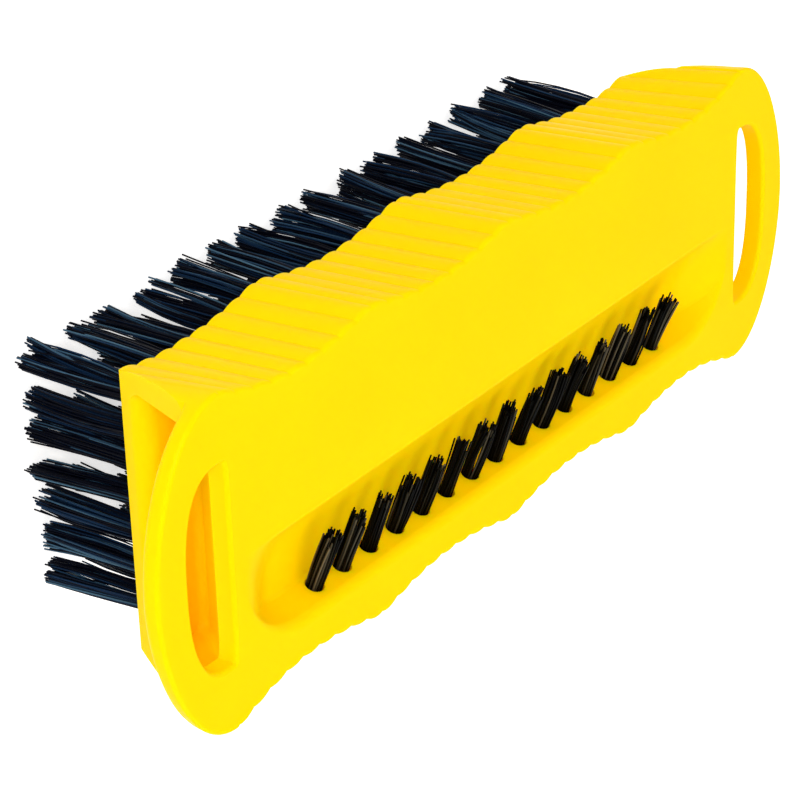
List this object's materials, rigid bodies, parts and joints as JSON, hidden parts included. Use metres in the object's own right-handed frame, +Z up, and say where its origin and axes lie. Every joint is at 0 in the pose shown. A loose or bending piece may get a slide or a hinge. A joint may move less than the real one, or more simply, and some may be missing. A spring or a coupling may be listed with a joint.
{
  "type": "nail brush",
  "caption": "Two-sided nail brush: a wavy-edged moulded body with a loop at each end, long main bristles below and a slanted row of nail bristles in a scoop on top.",
  "frame": {"origin": "on the plane that the main bristle tips stand on, under the middle of the body", "axes": "+X along the length, +Y across, from the nail bristles' scoop towards the plain side, +Z up from the main bristles to the face with the nail bristles"},
  "size_m": [0.1216, 0.0386, 0.0319],
  "materials": {
    "body_plastic": "smooth satin-gloss moulded plastic",
    "bristle_nylon": "shiny blue-black nylon filament",
    "staple_steel": "plain flat wire"
  },
  "bodies": {
    "root": {"body_moulding": "body_plastic", "main_tufts_01": "bristle_nylon", "main_tufts_02": "bristle_nylon", "main_tufts_03": "bristle_nylon", "main_tufts_04": "bristle_nylon", "main_tufts_05": "bristle_nylon", "main_tufts_06": "bristle_nylon", "main_tufts_07": "bristle_nylon", "main_tufts_08": "bristle_nylon", "main_tufts_09": "bristle_nylon", "main_tufts_10": "bristle_nylon", "main_tufts_11": "bristle_nylon", "main_tufts_12": "bristle_nylon", "main_tufts_13": "bristle_nylon", "main_tufts_14": "bristle_nylon", "main_tufts_15": "bristle_nylon", "main_tufts_16": "bristle_nylon", "nail_tuft_01": "bristle_nylon", "nail_tuft_02": "bristle_nylon", "nail_tuft_03": "bristle_nylon", "nail_tuft_04": "bristle_nylon", "nail_tuft_05": "bristle_nylon", "nail_tuft_06": "bristle_nylon", "nail_tuft_07": "bristle_nylon", "nail_tuft_08": "bristle_nylon", "nail_tuft_09": "bristle_nylon", "nail_tuft_10": "bristle_nylon", "nail_tuft_11": "bristle_nylon", "nail_tuft_12": "bristle_nylon", "nail_tuft_13": "bristle_nylon", "nail_tuft_14": "bristle_nylon", "nail_tuft_15": "bristle_nylon", "nail_staple_01": "staple_steel", "nail_staple_02": "staple_steel", "nail_staple_03": "staple_steel", "nail_staple_04": "staple_steel", "nail_staple_05": "staple_steel", "nail_staple_06": "staple_steel", "nail_staple_07": "staple_steel", "nail_staple_08": "staple_steel", "nail_staple_09": "staple_steel", "nail_staple_10": "staple_steel", "nail_staple_11": "staple_steel", "nail_staple_12": "staple_steel", "nail_staple_13": "staple_steel", "nail_staple_14": "staple_steel", "nail_staple_15": "staple_steel"}
  },
  "joints": []
}
